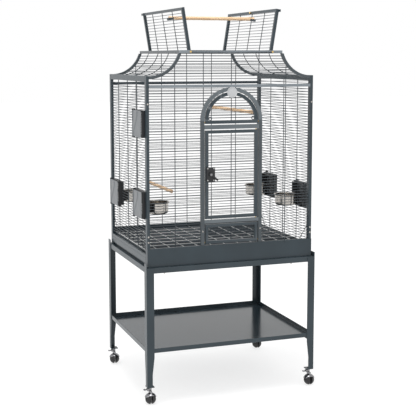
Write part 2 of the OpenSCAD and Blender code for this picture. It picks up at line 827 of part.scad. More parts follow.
tray_z = stand_top + 0.5;
tray_top = rail_z - 8.5;
tray_x = hw - tube - 2;
tray_y1 = hd - tube - 3;
clip_x = hw - 129;

// Pull-out tray with its full-width front panel and three clips
module tray() color(paint) {
    difference() {
        box([-tray_x, -hd - 0.7, tray_z], [tray_x, tray_y1, tray_top]);
        box([-tray_x + 1.5, -hd + 1, tray_z + 1.5], [tray_x - 1.5, tray_y1 - 1.5, tray_top + 1]);
    }
    box([-hw, -hd - 2.7, tray_z], [hw, -hd - 0.5, stand_top + fascia_h]);
    z1 = stand_top + fascia_h;
    for (x = [-clip_x, 0, clip_x])
        box([x - 9, -hd - 4.5, z1 - 9], [x + 9, -hd - 2.5, z1 + 1]);
}

// Floor grate on the tray's rim
module grate() color(paint) {
    z = tray_top + 2.2;
    x1 = tray_x - 0.5;
    y0 = -hd + tube + 1.5;
    y1 = tray_y1 - 0.5;
    d = 4;
    for (s = [-1, 1])
        wire_y(y0, y1, s * (x1 - 2), z, d);
    n = floor((y1 - y0 - 10) / 15);
    for (i = [0:n])
        wire_x(-x1 + 4 + seam, x1 - 4 - seam, y0 + 5 + i * (y1 - y0 - 10) / n, z, 2.6);
    for (i = [-5:5])
        wire_y(y0, y1, i * cage_w / 12, z + 3, 2.6);
}

// ---- Casters ----

// Points of an arc of the given radius between two angles
function arc_pts(r, a0, a1, n) = [
    for (i = [0:n])
        let (a = a0 + (a1 - a0) * i / n)
            [r * cos(a), r * sin(a)]
];

// Place of one caster under its leg; the wheel stands forward of the stem
module caster_at(sx, sy)
    translate([sx * caster_x, sy * caster_y, 0])
        rotate([0, 0, 90])
            children();

// Fork of a ball caster: stem, socket, middle leg, hood, axle and the ears of the brake
module fork(sx, sy) color(steel)
    caster_at(sx, sy) {
        top = caster_h - 0.6;
        translate([0, 0, top - 1])
            cylinder(d = stem_d, h = 10, $fn = pn);
        translate([0, 0, wheel_z + hood_r - 2.2])
            cylinder(d = 14, h = top - wheel_z - hood_r + 2.2, $fn = pn);
        for (x = [-7.1, 5.1])
            box([x, 0, brake_z - 5], [x + 2, brake_y + 3.5, brake_z + 5]);
        wire_x(-6.5, 6.5, brake_y, brake_z, 4);
        translate([-trail, 0, wheel_z])
            rotate([90, 0, 0]) {
                rotate([0, 0, 25])
                    rotate_extrude(angle = 115, $fn = 96)
                        polygon(concat(arc_pts(hood_r, -58, 58, 10), arc_pts(hood_r - 2, 58, -58, 10)));
                translate([0, 0, -3.5])
                    linear_extrude(7)
                        polygon([
                            [-7, -5], [7, -5], [12, hood_r - 5],
                            [3, hood_r + 9], [-12, hood_r + 9], [-12, hood_r - 5]
                        ]);
                translate([0, 0, -18])
                    cylinder(d = 6, h = 36, $fn = pn);
            }
    }

// Ball wheel in two halves on one axle
module wheel(sx, sy) color(black)
    caster_at(sx, sy)
        translate([-trail, 0, wheel_z])
            rotate([90, 0, 0])
                for (m = [0, 1])
                    mirror([0, 0, m])
                        rotate_extrude($fn = 96)
                            polygon(concat(
                                [[3 + pin_gap, 4]],
                                arc_pts(wheel_d / 2, asin(8 / wheel_d), 66, 9),
                                [[3 + pin_gap, 21]]
                            ));

// Brake lever on its pin beside the socket
module brake(sx, sy) color(steel)
    caster_at(sx, sy)
        difference() {
            union() {
                wire_x(-4.9, 4.9, brake_y, brake_z, 8);
                box([-4.9, brake_y, brake_z - 1.5], [4.9, brake_y + 14, brake_z + 2]);
                box([-7, brake_y + 10, brake_z - 1.5], [7, brake_y + 18, brake_z + 2.5]);
            }
            wire_x(-6, 6, brake_y, brake_z, 4 + 2 * pin_gap);
        }

module fork_fl() fork(-1, -1);
module fork_fr() fork(1, -1);
module fork_rl() fork(-1, 1);
module fork_rr() fork(1, 1);
module wheel_fl() wheel(-1, -1);
module wheel_fr() wheel(1, -1);
module wheel_rl() wheel(-1, 1);
module wheel_rr() wheel(1, 1);
module brake_fl() brake(-1, -1);
module brake_fr() brake(1, -1);
module brake_rl() brake(-1, 1);
module brake_rr() brake(1, 1);

leg_fl();
leg_fr();
leg_rl();
leg_rr();
stand_rails();
shelf();
screws();
base_frame();
front_frame();
front_wires();
left_frame();
left_wires();
right_frame();
right_wires();
rear_frame();
rear_wires();
arch_frame();
roof_frame();
roof_wires();
housing_lu();
housing_lf();
housing_lr();
housing_rf();
housing_rr();
perch_low();
perch_high();
hinge_pins();
flap_left();
flap_right();
top_perch();
door_frame();
door_wires();
latch_body();
latch_lever();
window_frame();
badge();
hatch_frame();
cover_lu();
cover_lf();
cover_lr();
cover_rf();
cover_rr();
bowl_lf();
bowl_lr();
bowl_rf();
bowl_rr();
tray();
grate();
fork_fl();
fork_fr();
fork_rl();
fork_rr();
wheel_fl();
wheel_fr();
wheel_rl();
wheel_rr();
brake_fl();
brake_fr();
brake_rl();
brake_rr();
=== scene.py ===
"""Looks of the bird cage on its stand: materials, rounded edges and the finer pieces."""

import json
import math
import random

import bmesh
import bpy
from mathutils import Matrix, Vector


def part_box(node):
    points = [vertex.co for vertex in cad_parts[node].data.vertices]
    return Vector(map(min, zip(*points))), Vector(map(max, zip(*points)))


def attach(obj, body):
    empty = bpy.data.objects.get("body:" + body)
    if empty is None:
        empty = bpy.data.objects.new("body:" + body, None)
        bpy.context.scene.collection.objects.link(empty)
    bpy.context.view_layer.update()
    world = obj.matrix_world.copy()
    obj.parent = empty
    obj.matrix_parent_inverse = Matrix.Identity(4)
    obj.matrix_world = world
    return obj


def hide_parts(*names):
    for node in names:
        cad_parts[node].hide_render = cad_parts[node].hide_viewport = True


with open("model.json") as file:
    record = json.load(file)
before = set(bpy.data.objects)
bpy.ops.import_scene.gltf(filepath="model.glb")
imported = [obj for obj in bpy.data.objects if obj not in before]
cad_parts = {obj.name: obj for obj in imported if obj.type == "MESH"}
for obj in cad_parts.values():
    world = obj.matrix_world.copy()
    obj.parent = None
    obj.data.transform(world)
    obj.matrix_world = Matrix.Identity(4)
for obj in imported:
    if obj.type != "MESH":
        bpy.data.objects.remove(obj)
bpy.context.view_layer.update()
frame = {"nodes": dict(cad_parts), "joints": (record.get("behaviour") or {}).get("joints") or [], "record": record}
NODES = frame["nodes"]
SLOT_OF = {part["node"]: part["material_slot"] for part in frame["record"]["subparts"]}
MM = 0.001
WELD_DISTANCE = 0.001 * MM
UP = (0, 0, 1)
FORWARD = (0, -1, 0)
ORIGIN = (0, 0, 0)
scene = bpy.context.scene


# ---- Materials ----

class Shader:
    """A Principled material with the few texture nodes that each finish needs."""

    def __init__(self, name, roughness, metallic=0.0, ior=1.5):
        self.material = bpy.data.materials.new(name)
        self.material.use_nodes = True
        self.tree = self.material.node_tree
        self.tree.nodes.clear()
        output = self.node("ShaderNodeOutputMaterial")
        self.principled = self.node("ShaderNodeBsdfPrincipled")
        self.link(self.principled, "BSDF", output, "Surface")
        self.principled.inputs["Roughness"].default_value = roughness
        self.principled.inputs["Metallic"].default_value = metallic
        self.principled.inputs["IOR"].default_value = ior
        self.coordinates = self.node("ShaderNodeTexCoord")

    def node(self, kind, **values):
        node = self.tree.nodes.new(kind)
        for key, value in values.items():
            setattr(node, key, value)
        return node

    def link(self, source, output, target, socket):
        self.tree.links.new(source.outputs[output], target.inputs[socket])

    def stretched(self, scale):
        """Object coordinates, scaled along each axis."""
        mapping = self.node("ShaderNodeMapping")
        mapping.inputs["Scale"].default_value = scale
        self.link(self.coordinates, "Object", mapping, "Vector")
        return mapping

    def noise(self, scale, detail=3.0, roughness=0.5, stretch=(1, 1, 1), distortion=0.0):
        """Fine or broad noise, with its scale in repeats per metre."""
        node = self.node("ShaderNodeTexNoise")
        node.inputs["Scale"].default_value = scale
        node.inputs["Detail"].default_value = detail
        node.inputs["Roughness"].default_value = roughness
        node.inputs["Distortion"].default_value = distortion
        self.link(self.stretched(stretch), "Vector", node, "Vector")
        return node

    def ramp(self, source, output, stops):
        """Colour ramp over a source, with stops of (place, colour)."""
        node = self.node("ShaderNodeValToRGB")
        for _ in range(len(stops) - 2):
            node.color_ramp.elements.new(0.5)
        for element, (place, colour) in zip(node.color_ramp.elements, stops):
            element.position = place
            element.color = (*colour, 1.0)
        self.link(source, output, node, "Fac")
        return node

    def value_range(self, source, output, low, high, start=0.0, end=1.0):
        """A source's values from start to end, mapped to low to high."""
        node = self.node("ShaderNodeMapRange")
        node.inputs["From Min"].default_value = start
        node.inputs["From Max"].default_value = end
        node.inputs["To Min"].default_value = low
        node.inputs["To Max"].default_value = high
        self.link(source, output, node, "Value")
        return node

    def mix(self, factor, factor_output, first, second):
        """Mix of two colour nodes, or of a colour node and a plain colour."""
        node = self.node("ShaderNodeMix", data_type="RGBA")
        self.tree.links.new(factor.outputs[factor_output], node.inputs[0])
        for socket, colour in ((node.inputs[6], first), (node.inputs[7], second)):
            if isinstance(colour, tuple):
                socket.default_value = (*colour, 1.0)
            else:
                self.tree.links.new(colour, socket)
        return node.outputs[2]

    def bump(self, source, output, strength, distance, under=None):
        node = self.node("ShaderNodeBump")
        node.inputs["Strength"].default_value = strength
        node.inputs["Distance"].default_value = distance
        self.link(source, output, node, "Height")
        if under:
            self.link(under, "Normal", node, "Normal")
        return node

    def colour(self, output):
        self.tree.links.new(output, self.principled.inputs["Base Color"])

    def rough(self, source, low, high):
        """Roughness that follows a noise, from low to high."""
        self.link(self.value_range(source, "Fac", low, high), "Result", self.principled, "Roughness")

    def colour_glow(self, source, strength):
        """Light given off in a source's colour."""
        self.link(source, "Color", self.principled, "Emission Color")
        self.principled.inputs["Emission Strength"].default_value = strength

    def finish_bump(self, node):
        self.link(node, "Normal", self.principled, "Normal")


def shade(colour, factor):
    return tuple(channel * factor for channel in colour)


def powder_coat(name, colour, roughness, edge_wear_and_highlight_colour=(0.30, 0.32, 0.34), peel_depth=0.00030):
    """Baked powder coat: faint mottling, orange peel and edges a little lighter, partly from wear and partly
    painted highlight.
    """
    s = Shader(name, roughness, ior=1.42)
    broad = s.noise(7, detail=2)
    base = s.ramp(broad, "Fac", [(0.3, shade(colour, 0.88)), (0.7, shade(colour, 1.12))])
    fleck = s.noise(1500, detail=1)
    fleck_amount = s.value_range(fleck, "Fac", 0.0, 0.22, 0.6, 0.8)
    flecked = s.mix(fleck_amount, "Result", base.outputs["Color"], shade(colour, 1.7))
    edge = s.node("ShaderNodeNewGeometry")
    # Edges a little lighter: partly wear, partly painted highlight.
    edge_wear_and_highlight = s.value_range(edge, "Pointiness", 0.0, 0.35, 0.56, 0.72)
    s.colour(s.mix(edge_wear_and_highlight, "Result", flecked, edge_wear_and_highlight_colour))
    s.rough(broad, roughness - 0.04, roughness + 0.05)
    peel = s.noise(420, detail=2)
    s.finish_bump(s.bump(peel, "Fac", 0.12, peel_depth, s.bump(fleck, "Fac", 0.04, 0.0002)))
    return s.material


def moulded_plastic(name, colour, roughness):
    """Moulded plastic with a fine spark-eroded grain."""
    s = Shader(name, roughness, ior=1.46)
    broad = s.noise(25, detail=2)
    base = s.ramp(broad, "Fac", [(0.3, shade(colour, 0.9)), (0.7, shade(colour, 1.1))])
    s.colour(base.outputs["Color"])
    grain = s.noise(2600, detail=2)
    s.rough(broad, roughness - 0.05, roughness + 0.07)
    s.finish_bump(s.bump(grain, "Fac", 0.22, 0.0003))
    return s.material


def bright_metal(name, colour, roughness, brushed, stretch=(1, 1, 1), ripple=0.03):
    """Polished or plated metal, with fine drawing or polishing lines along the stretch."""
    s = Shader(name, roughness, metallic=1.0)
    lines = s.noise(1800, detail=3, stretch=stretch)
    base = s.ramp(lines, "Fac", [(0.3, shade(colour, 1 - brushed)), (0.7, colour)])
    s.colour(base.outputs["Color"])
    smear = s.noise(60, detail=3)
    s.rough(smear, roughness * 0.6, roughness * 1.6)
    s.finish_bump(s.bump(lines, "Fac", ripple, 0.0002))
    return s.material


def bare_wood(name, grain_axis):
    """Pale turned wood: growth rings, long pores along the grain and a few darker streaks."""
    along = 0.045
    stretch = tuple(along if axis == grain_axis else 1.0 for axis in range(3))
    s = Shader(name, 0.55, ior=1.45)
    rings = s.noise(170, detail=4, roughness=0.6, stretch=stretch, distortion=0.6)
    pores = s.noise(1300, detail=2, stretch=stretch)
    late_wood, middle_wood, early_wood = (0.56, 0.36, 0.20), (0.70, 0.48, 0.29), (0.80, 0.60, 0.40)
    base = s.ramp(rings, "Fac", [(0.28, late_wood), (0.5, middle_wood), (0.72, early_wood)])
    dark = s.value_range(pores, "Fac", 0.45, 0.0, 0.25, 0.42)
    s.colour(s.mix(dark, "Result", base.outputs["Color"], (0.30, 0.14, 0.06)))
    s.rough(rings, 0.48, 0.66)
    s.finish_bump(s.bump(pores, "Fac", 0.35, 0.0004, s.bump(rings, "Fac", 0.15, 0.0005)))
    return s.material


def tyre_rubber(name):
    """Hard black tread with scuffs."""
    s = Shader(name, 0.42, ior=1.5)
    scuff = s.noise(160, detail=5, roughness=0.7)
    base = s.ramp(scuff, "Fac", [(0.45, (0.008, 0.008, 0.009)), (0.75, (0.025, 0.025, 0.026))])
    s.colour(base.outputs["Color"])
    s.rough(scuff, 0.32, 0.6)
    s.finish_bump(s.bump(scuff, "Fac", 0.12, 0.0004))
    return s.material


def studio_floor(name):
    """Plain floor with the faintest mottling, which gives off light so that shadows stay pale."""
    s = Shader(name, 0.9)
    mottle = s.noise(2, detail=2)
    base = s.ramp(mottle, "Fac", [(0.3, (0.33, 0.33, 0.33)), (0.7, (0.35, 0.35, 0.35))])
    s.colour(base.outputs["Color"])
    s.colour_glow(s.ramp(mottle, "Fac", [(0.3, (0.69, 0.69, 0.69)), (0.7, (0.71, 0.71, 0.71))]), 1.0)
    return s.material


BLUE_GREY = (0.025, 0.038, 0.047)
MATERIALS = {
    "paint": powder_coat("powder_coat_blue_grey", BLUE_GREY, 0.30),
    # Painted light: a paler, slightly glossier copy of the blue-grey paint for the frames.
    "paint_light": powder_coat("powder_coat_gloss_and_painted_light", (0.056, 0.068, 0.076), 0.24),
    "black": moulded_plastic("black_plastic", (0.014, 0.015, 0.017), 0.38),
    "grey": moulded_plastic("grey_plastic", (0.13, 0.14, 0.15), 0.36),
    "steel": bright_metal("polished_steel", (0.60, 0.57, 0.53), 0.14, 0.25, (1, 1, 0.05)),
    "chrome": bright_metal("chrome_plate", (0.27, 0.27, 0.28), 0.16, 0.15),
    "brass": bright_metal("brass", (0.78, 0.55, 0.22), 0.22, 0.2),
    "wood": bare_wood("wood_along_y", 1),
    "badge": powder_coat("badge_enamel", (0.46, 0.47, 0.48), 0.35, edge_wear_and_highlight_colour=(0.7, 0.7, 0.7)),
    "tyre": tyre_rubber("caster_rubber"),
}
WOOD_X = bare_wood("wood_along_x", 0)
SMOOTH_PAINT = powder_coat("powder_coat_smooth", BLUE_GREY, 0.17, peel_depth=0.00004)
# Painted highlight: a much paler copy of the paint for the beam and the front ridge rail.
PAINTED_HIGHLIGHT_PAINT = powder_coat("powder_coat_painted_highlight", (0.19, 0.215, 0.235), 0.2)
# Painted highlight: a paler copy of the paint for the arch's arcs.
ARC_HIGHLIGHT_PAINT = powder_coat("powder_coat_arc_painted_highlight", (0.11, 0.128, 0.14), 0.22)
# Painted shade: a darker copy of the blue-grey paint for the wires and the grate.
SHADED_WIRE_PAINT = powder_coat("powder_coat_wire_painted_shade", shade(BLUE_GREY, 0.8), 0.45)
# Painted highlight: near-white lines for the grate's long and spaced wires, which carry the same paint as the
# rest.
GRATE_HIGHLIGHT_WIRE = bright_metal("grate_wire_painted_highlight", (0.85, 0.85, 0.84), 0.32, 0.1)
PALE_PLATE = powder_coat("pale_plate", (0.62, 0.62, 0.61), 0.35)


# ---- CAD nodes that stay ----

WIRE_NODES = ("wires", "grate", "hinge_pins")
EDGE_WIDTH = {"default": 1.2 * MM, "fork": 0.5 * MM, "brake": 0.4 * MM, "tray": 0.7 * MM, "leg": 0.8 * MM}


def edge_width(node):
    for key, width in EDGE_WIDTH.items():
        if node.startswith(key):
            return width
    return EDGE_WIDTH["default"]


def round_edges(obj, width):
    """Welds the CAD faces into shells, rounds their sharp edges and keeps the flats flat."""
    custom = obj.data.attributes.get("custom_normal")
    if custom:
        obj.data.attributes.remove(custom)
    for polygon in obj.data.polygons:
        polygon.use_smooth = True
    weld = obj.modifiers.new("weld", "WELD")
    weld.merge_threshold = 0.00001
    bevel = obj.modifiers.new("round", "BEVEL")
    bevel.width = width
    bevel.segments = 2
    bevel.limit_method = "ANGLE"
    bevel.angle_limit = math.radians(35)
    bevel.miter_outer = "MITER_ARC"
    weighted = obj.modifiers.new("flats", "WEIGHTED_NORMAL")
    weighted.keep_sharp = False
    weighted.weight = 80


def dress_nodes():
    for name, obj in NODES.items():
        obj.data.materials.clear()
        # Wires and grate take the darker copy of the paint, which is painted shade.
        finish = SHADED_WIRE_PAINT if name.endswith("wires") or name == "grate" else MATERIALS[SLOT_OF[name]]
        obj.data.materials.append(SMOOTH_PAINT if name == "shelf" else finish)
        if not any(word in name for word in WIRE_NODES):
            round_edges(obj, edge_width(name))


def solids_of(node):
    """Box and polygons of each separate solid in a CAD node, in a steady order."""
    mesh = NODES[node].data
    key_of = [tuple(round(c, 6) for c in v.co) for v in mesh.vertices]
    parent = {key: key for key in key_of}

    def root(key):
        while parent[key] != key:
            parent[key] = parent[parent[key]]
            key = parent[key]
        return key

    for polygon in mesh.polygons:
        first = root(key_of[polygon.vertices[0]])
        for index in polygon.vertices[1:]:
            parent[root(key_of[index])] = first
    groups, members = {}, {}
    for key in parent:
        groups.setdefault(root(key), []).append(key)
    for polygon in mesh.polygons:
        members.setdefault(root(key_of[polygon.vertices[0]]), []).append(polygon.index)
    boxes = []
    for name, points in groups.items():
        low = Vector([min(p[axis] for p in points) for axis in range(3)])
        high = Vector([max(p[axis] for p in points) for axis in range(3)])
        boxes.append((low, high, members.get(name, [])))
    return sorted(boxes, key=lambda box: tuple(box[0]))


def solid_boxes(node):
    """Lowest and highest corner of each separate solid in a CAD node, in a steady order."""
    return [(low, high) for low, high, _ in solids_of(node)]


def finish_solids(node, material, chosen):
    """A second finish on the separate solids of a CAD node that a test picks by their box."""
    mesh = NODES[node].data
    mesh.materials.append(material)
    for low, high, polygons in solids_of(node):
        if chosen(low, high):
            for index in polygons:
                mesh.polygons[index].material_index = 1


def finish_highlights():
    """Painted highlights as paler copies of the paint on the solids that catch the light, and near-white painted
    highlights on some of the grate's wires; a pale plate on the tray's clips.
    """
    clip_width = 30 * MM
    rail_width = 400 * MM
    beam_width, beam_height = 500 * MM, 1300 * MM
    crossbar_width = 200 * MM
    finish_solids("tray", PALE_PLATE, lambda low, high: high.x - low.x < clip_width)

    def beam(low, high):
        return high.x - low.x > beam_width and low.z > beam_height

    # Painted highlight on the beam and the front ridge rail.
    finish_solids("front_frame", PAINTED_HIGHLIGHT_PAINT, beam)
    finish_solids("roof_frame", PAINTED_HIGHLIGHT_PAINT, lambda low, high: high.x - low.x > rail_width and high.y < 0)
    # Painted highlight on the arch's arcs.
    finish_solids("arch_frame", ARC_HIGHLIGHT_PAINT, lambda low, high: high.x - low.x > crossbar_width)
    grate_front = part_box("grate")[0].y
    long_wire = 300 * MM
    highlight_pitch = 75 * MM
    highlight_reach = 15 * MM

    def highlight_wire(low, high):
        return high.y - low.y > long_wire or (low.y - grate_front) % highlight_pitch < highlight_reach

    # Painted highlight on the grate's long wires and on every few cross wires.
    finish_solids("grate", GRATE_HIGHLIGHT_WIRE, highlight_wire)


# ---- Building pieces ----

def closed_mesh(name, verts, faces):
    """A mesh with its doubled corners welded and its faces turned outward."""
    mesh = bpy.data.meshes.new(name)
    mesh.from_pydata([tuple(v) for v in verts], [], faces)
    bm = bmesh.new()
    bm.from_mesh(mesh)
    bmesh.ops.remove_doubles(bm, verts=bm.verts, dist=WELD_DISTANCE)
    bmesh.ops.recalc_face_normals(bm, faces=bm.faces)
    bm.to_mesh(mesh)
    bm.free()
    return mesh


def piece(name, verts, faces, material, body, slot):
    """A new mesh piece that rides on a body and takes the finish it is given."""
    mesh = closed_mesh(name, verts, faces)
    for polygon in mesh.polygons:
        polygon.use_smooth = True
    mesh.set_sharp_from_angle(angle=math.radians(38))
    mesh.materials.append(material)
    obj = bpy.data.objects.new(name, mesh)
    scene.collection.objects.link(obj)
    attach(obj, body)
    return obj


def lathe(profile, segments, centre, axis):
    """Vertices and faces of a profile of (distance along the axis, radius), turned round the axis."""
    axis = Vector(axis).normalized()
    turn = Vector(UP).rotation_difference(axis).to_matrix()
    verts, faces = [], []
    for along, radius in profile:
        for i in range(segments):
            angle = 2 * math.pi * i / segments
            point = Vector((radius * math.cos(angle), radius * math.sin(angle), along))
            verts.append(Vector(centre) + turn @ point)
    for ring in range(len(profile) - 1):
        for i in range(segments):
            j = (i + 1) % segments
            a, b = ring * segments, (ring + 1) * segments
            faces.append((a + i, a + j, b + j, b + i))
    return verts, faces


def arc(centre, radius, start, end, steps):
    """Points of an arc in degrees, as (along, radius) pairs."""
    points = []
    for i in range(steps + 1):
        angle = math.radians(start + (end - start) * i / steps)
        points.append((centre[0] + radius * math.cos(angle), centre[1] + radius * math.sin(angle)))
    return points


def joined(parts):
    """One vertex and face list from several."""
    verts, faces = [], []
    for part_verts, part_faces in parts:
        start = len(verts)
        verts.extend(part_verts)
        faces.extend(tuple(i + start for i in face) for face in part_faces)
    return verts, faces


def smoothstep(t):
    t = min(1.0, max(0.0, t))
    return t * t * (3 - 2 * t)


# ---- Feeder covers ----

COVER_ROWS = 44
COVER_PLATE = 2.0 * MM
COVER_RELIEF = 3.4 * MM
COVER_SINK = 3.6 * MM
BARREL_RADIUS = 3.8 * MM
BARREL_BORE = 2.05 * MM


def cover_relief(u, v):
    """Height from 0 to 1 of the pressed wave; u runs to the front edge and v to the top."""
    crease = 0.05 + 0.50 * smoothstep(v * 1.15)
    behind = crease - u
    wave = smoothstep(behind / 0.09 + 0.5) * (0.45 + 0.55 * math.exp(-max(0.0, behind) / 0.25))
    second = 0.92 - 0.55 * smoothstep(v * 1.5)
    fold = 0.35 * smoothstep((u - second) / 0.06 + 0.5) * (1 - smoothstep((v - 0.45) / 0.25))
    border = min(u, 1 - u, v, 1 - v)
    return (wave + fold) * smoothstep(border / 0.05) * 0.92


def make_cover(key):
    """Pressed cover plate with a wave, its rolled hinge edge and the ribbed lining behind it."""
    node = f"cover_{key}"
    low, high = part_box(node)
    out = -1 if key[0] == "l" else 1
    face_x = low.x if out < 0 else high.x
    base_x = face_x - out * COVER_SINK
    y0, y1 = low.y, high.y - 7.4 * MM
    z0, z1 = low.z, high.z
    verts, faces = [], []
    rows = COVER_ROWS
    for i in range(rows + 1):
        for j in range(rows + 1):
            u, v = 1 - i / rows, j / rows
            height = cover_relief(u, v) * COVER_RELIEF
            verts.append((base_x + out * height, y0 + (y1 - y0) * i / rows, z0 + (z1 - z0) * j / rows))
    across = rows + 1
    for i in range(rows):
        for j in range(rows):
            a = i * across + j
            faces.append((a, a + 1, a + across + 1, a + across))
    rim = list(range(across))
    rim += [i * across + rows for i in range(1, across)]
    rim += [rows * across + j for j in range(rows - 1, -1, -1)]
    rim += [i * across for i in range(rows - 1, 0, -1)]
    back_x = base_x - out * COVER_PLATE
    start = len(verts)
    verts += [(back_x, verts[r][1], verts[r][2]) for r in rim]
    for k in range(len(rim)):
        n = (k + 1) % len(rim)
        faces.append((rim[k], rim[n], start + n, start + k))
    faces.append(tuple(range(start, start + len(rim))))
    hinge = (face_x - out * BARREL_RADIUS, high.y - BARREL_RADIUS, z0)
    barrel = hinge_barrel(hinge, z1 - z0)
    cover = piece(f"cover_panel_{key}", *joined([(verts, faces), barrel]), MATERIALS["grey"], node, "grey")
    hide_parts(node)
    make_lining(key, back_x, out, (y0, y1), (z0, z1))


def hinge_barrel(foot, length):
    """Rolled hinge edge of a cover, bored for its pin, with a short waist at the middle."""
    lip = 0.5 * MM
    outer = BARREL_RADIUS
    waist = outer - 0.6 * MM
    half = length / 2
    profile = [(0, BARREL_BORE), (0, outer - lip), (lip, outer), (half - 6 * MM, outer),
               (half - 5 * MM, waist), (half + 5 * MM, waist), (half + 6 * MM, outer),
               (length - lip, outer), (length, outer - lip), (length, BARREL_BORE), (0, BARREL_BORE)]
    return lathe(profile, 28, foot, UP)


def make_lining(key, face_x, out, across, height):
    """Black lining behind a cover: two uprights joined by horizontal louvres."""
    margin = 9 * MM
    depth = 2.0 * MM
    upright = 7 * MM
    louvre = 6 * MM
    y0, y1 = across[0] + margin, across[1] - margin
    z0, z1 = height[0] + margin, height[1] - margin
    bars = [((y0, z0), (y0 + upright, z1)), ((y1 - upright, z0), (y1, z1))]
    count = 5
    pitch = (z1 - z0 - louvre) / (count - 1)
    for i in range(count):
        z = z0 + i * pitch
        bars.append(((y0 + upright, z), (y1 - upright, z + louvre)))
    parts = [bevelled_slab(face_x, face_x - out * depth, a, b, 0.6 * MM) for a, b in bars]
    piece(f"cover_lining_{key}", *joined(parts), MATERIALS["black"], f"cover_{key}", "grey")


def bevelled_slab(x0, x1, a, b, chamfer):
    """Slab between two depths, with a chamfer round its far face."""
    turn = chamfer if x1 > x0 else -chamfer
    loops = [(x0, 0.0), (x1 - turn, 0.0), (x1, chamfer)]
    verts, faces = [], []
    for x, inset in loops:
        verts += [(x, a[0] + inset, a[1] + inset), (x, b[0] - inset, a[1] + inset),
                  (x, b[0] - inset, b[1] - inset), (x, a[0] + inset, b[1] - inset)]
    for ring in range(len(loops) - 1):
        for i in range(4):
            j = (i + 1) % 4
            faces.append((ring * 4 + i, ring * 4 + j, ring * 4 + 4 + j, ring * 4 + 4 + i))
    faces.append((0, 1, 2, 3))
    faces.append(tuple(range(len(verts) - 4, len(verts))))
    return verts, faces


# ---- Bowls ----

def make_bowl(key):
    """Drawn steel bowl with a rolled rim and a pressed ring in its base."""
    node = f"bowl_{key}"
    low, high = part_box(node)
    centre = ((low.x + high.x) / 2, (low.y + high.y) / 2, low.z)
    rim = (high.x - low.x) / 2
    depth = high.z - low.z
    wall = rim - 5.5 * MM
    roll = 1.4 * MM
    corner = 13 * MM
    outside = [(0.4 * MM, 0.0), (0.4 * MM, wall * 0.5), (0.0, wall * 0.56), (0.0, wall - corner)]
    outside += arc((corner, wall - corner), corner, 180, 90, 10)
    outside += [(depth - 2.2 * MM, wall)]
    outside += arc((depth - roll, rim - roll), roll, 200, -10, 8)
    outside += arc((depth - 2.4 * MM, wall - 1.2 * MM + roll), roll, 60, -90, 5)
    inside = [(depth - 5 * MM, wall - 1.0 * MM), (corner, wall - 1.0 * MM)]
    inside += arc((13.8 * MM, wall - 13.6 * MM), 12.6 * MM, 90, 180, 10)
    inside += [(1.2 * MM, wall * 0.56), (1.6 * MM, wall * 0.5), (1.6 * MM, 0.0)]
    verts, faces = lathe(outside + inside, 72, centre, UP)
    bowl = piece(f"drawn_bowl_{key}", verts, faces, MATERIALS["steel"], node, "steel")
    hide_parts(node)


# ---- Perches ----

def make_perch(node, axis, material, body):
    """Turned dowel: rounded ends, a shallow groove near each end and hand-worn waviness."""
    low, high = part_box(node)
    length = high[axis] - low[axis]
    other = (axis + 1) % 3
    radius = (high[other] - low[other]) / 2
    centre = (low + high) / 2
    centre[axis] = low[axis]
    direction = [0, 0, 0]
    direction[axis] = 1
    wear = random.Random(len(node) * 7 + axis)
    phase = [wear.uniform(0, 6.28) for _ in range(3)]
    end = 3.0 * MM
    turn_steps = [math.radians(a) for a in range(0, 91, 18)]
    profile = [(0.0, 0.0)]
    profile += [(end - end * math.cos(a), radius - end + end * math.sin(a)) for a in turn_steps]
    rings = 90
    groove_depth, groove_width, groove_inset = 0.9 * MM, 1.6 * MM, 14 * MM
    for i in range(1, rings):
        t = end + (length - 2 * end) * i / rings
        wave = 0.25 * MM * (math.sin(t * 61 + phase[0]) + 0.6 * math.sin(t * 143 + phase[1]))
        groove = sum(groove_depth * math.exp(-((t - place) / groove_width) ** 2)
                     for place in (groove_inset, length - groove_inset))
        profile.append((t, radius - 0.4 * MM + min(0.4 * MM, wave) - groove))
    profile += [(length - end + end * math.sin(a), radius - end + end * math.cos(a)) for a in turn_steps]
    profile.append((length, 0.0))
    verts, faces = lathe(profile, 32, centre, direction)
    dowel = piece(f"{node}_dowel", verts, faces, material, body, "wood")
    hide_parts(node)


# ---- Screws and badge ----

def cross_head(radius, height):
    """Pan head with a cross recess, pointing along +Z from its seat."""
    profile = [(0.0, 0.0), (0.0, radius)]
    for degrees in range(10, 91, 16):
        angle = math.radians(degrees)
        profile.append((height * math.sin(angle), radius * (0.62 + 0.38 * math.cos(angle))))
    profile.append((height, 0.0))
    head_verts, head_faces = lathe(profile, 32, ORIGIN, UP)
    arm, half, deep = radius * 0.55, radius * 0.11, height * 0.55
    taper = 0.7
    outline = [(arm, -half), (arm, half), (half, half), (half, arm), (-half, arm), (-half, half),
               (-arm, half), (-arm, -half), (-half, -half), (-half, -arm), (half, -arm), (half, -half)]
    cut_verts = [(x * taper, y * taper, height - deep) for x, y in outline]
    cut_verts += [(x, y, height * 1.2) for x, y in outline]
    count = len(outline)
    cut_faces = [tuple(range(count - 1, -1, -1)), tuple(range(count, 2 * count))]
    cut_faces += [(i, (i + 1) % count, (i + 1) % count + count, i + count) for i in range(count)]
    return boolean_cut(head_verts, head_faces, cut_verts, cut_faces)


